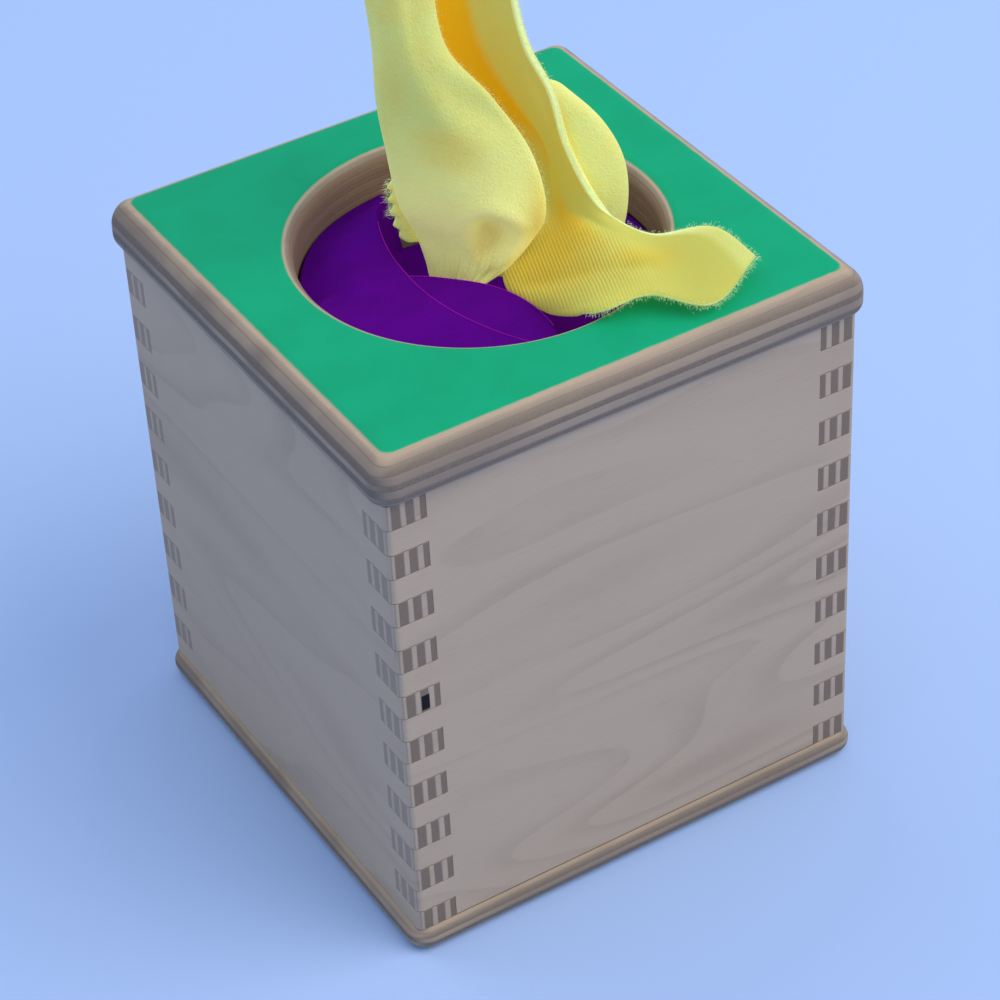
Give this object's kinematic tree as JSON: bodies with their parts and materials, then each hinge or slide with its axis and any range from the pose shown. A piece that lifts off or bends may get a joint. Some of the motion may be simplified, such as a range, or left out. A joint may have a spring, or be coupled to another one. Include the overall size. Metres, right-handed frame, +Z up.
{
  "type": "toy tissue box",
  "caption": "Square finger-jointed plywood box with a round hole in its green lid, filled with plush cloth tissues that a child pulls out through the hole and pushes back.",
  "frame": {"origin": "middle of the underside of the base panel", "axes": "+Z up through the hole, -Y out of the front wall, -X out of the left wall"},
  "size_m": [0.1214, 0.1214, 0.2152],
  "materials": {
    "plywood": "sanded birch plywood, clear matt oil",
    "green_laminate": "satin",
    "yellow_plush": "short plush outside, ribbed back",
    "purple_plush": "short plush",
    "folded_tissue_1_cloth": "short plush",
    "folded_tissue_2_cloth": "short plush",
    "folded_tissue_3_cloth": "short plush",
    "folded_tissue_4_cloth": "short plush",
    "folded_tissue_5_cloth": "short plush"
  },
  "bodies": {
    "box": {"base_panel": "plywood", "wall_front": "plywood", "wall_back": "plywood", "wall_left": "plywood", "wall_right": "plywood", "lid_panel": "plywood", "lid_laminate": "green_laminate"},
    "folded_tissue_1": {"folded_tissue_1": "folded_tissue_1_cloth"},
    "folded_tissue_2": {"folded_tissue_2": "folded_tissue_2_cloth"},
    "folded_tissue_3": {"folded_tissue_3": "folded_tissue_3_cloth"},
    "folded_tissue_4": {"folded_tissue_4": "folded_tissue_4_cloth"},
    "folded_tissue_5": {"folded_tissue_5": "folded_tissue_5_cloth"},
    "purple_tissue": {"purple_tissue": "purple_plush"},
    "yellow_tissue": {"yellow_tissue": "yellow_plush"}
  },
  "joints": [
    {"name": "pull_folded_tissue_1", "type": "slide", "parent": "box", "child": "folded_tissue_1", "axis": [0, 0, 1], "range_m": [0, 0.136]},
    {"name": "pull_folded_tissue_2", "type": "slide", "parent": "folded_tissue_1", "child": "folded_tissue_2", "axis": [0, 0, 1], "range_m": [0, 0.12]},
    {"name": "pull_folded_tissue_3", "type": "slide", "parent": "folded_tissue_2", "child": "folded_tissue_3", "axis": [0, 0, 1], "range_m": [0, 0.104]},
    {"name": "pull_folded_tissue_4", "type": "slide", "parent": "folded_tissue_3", "child": "folded_tissue_4", "axis": [0, 0, 1], "range_m": [0, 0.087]},
    {"name": "pull_folded_tissue_5", "type": "slide", "parent": "folded_tissue_4", "child": "folded_tissue_5", "axis": [0, 0, 1], "range_m": [0, 0.071]},
    {"name": "pull_purple_tissue", "type": "slide", "parent": "folded_tissue_5", "child": "purple_tissue", "axis": [0, 0, 1], "range_m": [0, 0.055]},
    {"name": "pull_yellow_tissue", "type": "slide", "parent": "purple_tissue", "child": "yellow_tissue", "axis": [0, 0, 1], "range_m": [0, 0.027]}
  ]
}
